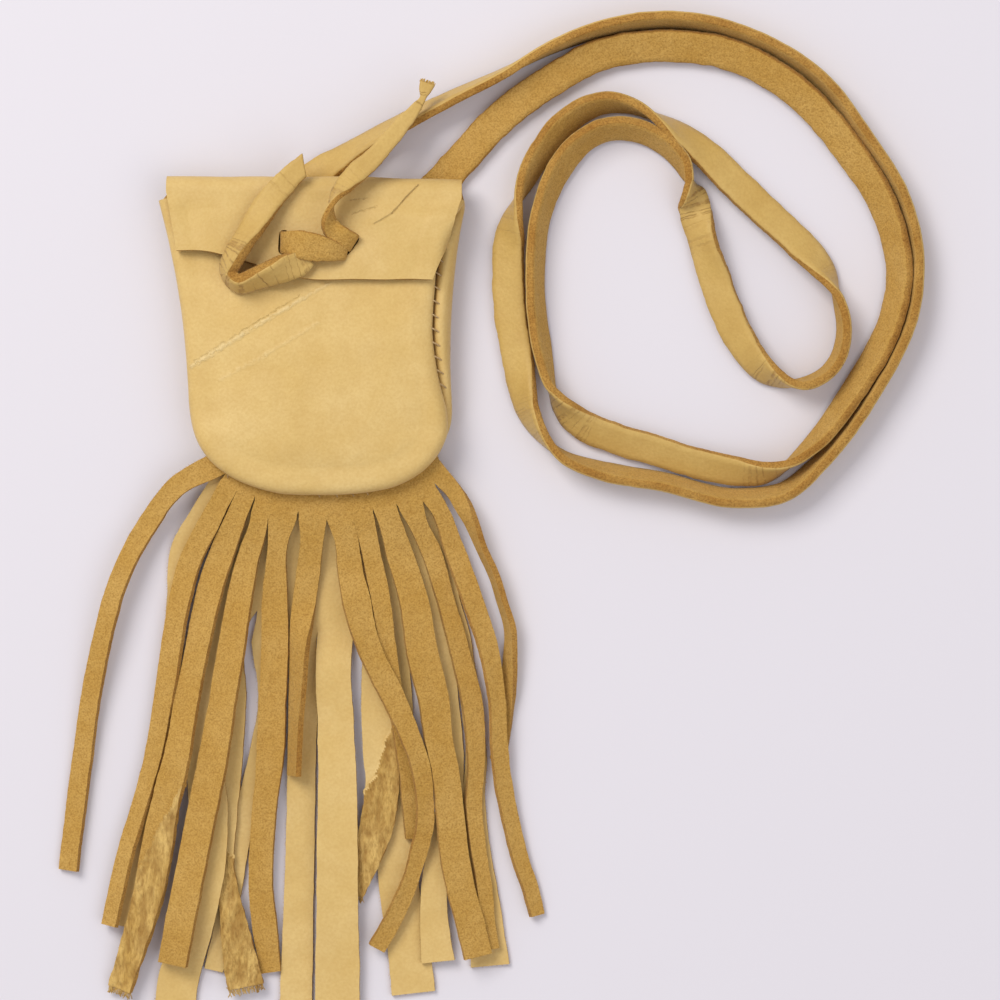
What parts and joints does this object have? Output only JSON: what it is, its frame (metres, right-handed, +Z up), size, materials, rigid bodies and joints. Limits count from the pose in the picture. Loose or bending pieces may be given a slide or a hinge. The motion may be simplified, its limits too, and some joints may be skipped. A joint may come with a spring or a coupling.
{
  "type": "medicine bag",
  "caption": "Small U-shaped deerskin medicine bag with a tied fold-over flap, long cut fringe and a flat leather neck lace.",
  "frame": {"origin": "on the surface the bag lies on, under the middle of the pouch a little below the flap's tie", "axes": "+X to the bag's right as seen from the front, +Y towards the fold of the flap, +Z up out of the front panel"},
  "size_m": [0.2156, 0.2577, 0.02],
  "materials": {
    "grain_leather": "soft, slightly worn grain side",
    "suede": "napped flesh side"
  },
  "bodies": {
    "root": {"back_panel_flap": "grain_leather", "front_panel": "grain_leather", "fringe_front": "suede", "fringe_back": "grain_leather", "toggle": "grain_leather", "tie_thong": "suede", "neck_strap": "suede"}
  },
  "joints": []
}
